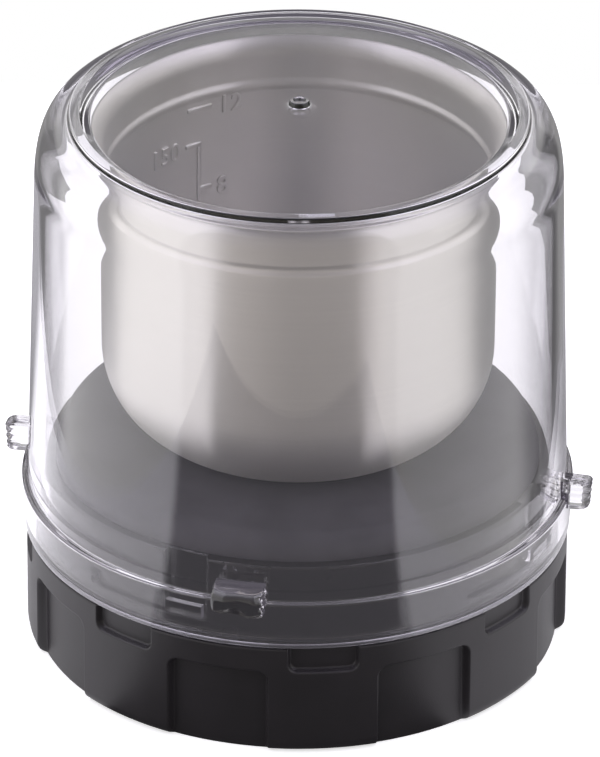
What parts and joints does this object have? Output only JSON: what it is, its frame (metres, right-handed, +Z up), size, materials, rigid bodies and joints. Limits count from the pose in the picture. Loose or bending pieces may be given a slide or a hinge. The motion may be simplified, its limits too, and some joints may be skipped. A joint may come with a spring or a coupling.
{
  "type": "spice grinder cup assembly",
  "caption": "Clear lidded grinding cup over a stainless steel bowl with spinning blades, on a black twist-lock base with a drive coupling below.",
  "frame": {"origin": "middle of the base's foot, on the surface it stands on", "axes": "+Z up along the axis of bowl and shaft; the wide lugs are on -Y and +Y, the narrow ones on -X and +X"},
  "size_m": [0.112, 0.112, 0.109],
  "materials": {
    "clear_plastic": "clear, polished moulding with a faint smoke tint",
    "bowl_steel": "drawn stainless steel, satin",
    "black_plastic": "black, fine texture",
    "silicone": "translucent white silicone, matt",
    "seal_rubber": "black nitrile, matt",
    "housing_aluminium": "turned, satin",
    "zinc_steel": "zinc plated",
    "bush_bronze": "sintered bronze, matt",
    "shaft_steel": "stainless, fine ground",
    "blade_steel": "stainless, polished, ground bevels",
    "coupling_nylon": "dark grey glass-filled nylon"
  },
  "bodies": {
    "base": {"base_shell": "black_plastic", "deck": "black_plastic", "bottom_plate": "black_plastic", "grinding_bowl": "bowl_steel", "bowl_gasket": "silicone", "bearing_housing": "housing_aluminium", "nut_washer": "zinc_steel", "housing_nut": "zinc_steel", "upper_bush": "bush_bronze", "lower_bush": "bush_bronze", "shaft_seal": "seal_rubber", "deck_screws": "zinc_steel", "plate_screws": "zinc_steel"},
    "rotor": {"drive_shaft": "shaft_steel", "lower_blade": "blade_steel", "blade_spacer": "shaft_steel", "upper_blade": "blade_steel", "blade_washer": "shaft_steel", "blade_nut": "shaft_steel", "thrust_washer": "zinc_steel", "retaining_clip": "zinc_steel", "drive_coupling": "coupling_nylon", "coupling_pin": "shaft_steel"},
    "seal": {"cup_seal": "silicone"},
    "cup": {"clear_cup": "clear_plastic"}
  },
  "joints": [
    {"name": "rotor_spin", "type": "hinge", "parent": "base", "child": "rotor", "pos_m": [0, 0, 0], "axis": [0, 0, 1], "continuous": true},
    {"name": "cup_turn", "type": "hinge", "parent": "base", "child": "seal", "pos_m": [0, 0, 0], "axis": [0, 0, -1], "range_deg": [0, 20]},
    {"name": "cup_lift", "type": "slide", "parent": "seal", "child": "cup", "axis": [0, 0, 1], "range_m": [0, 0.1]}
  ]
}
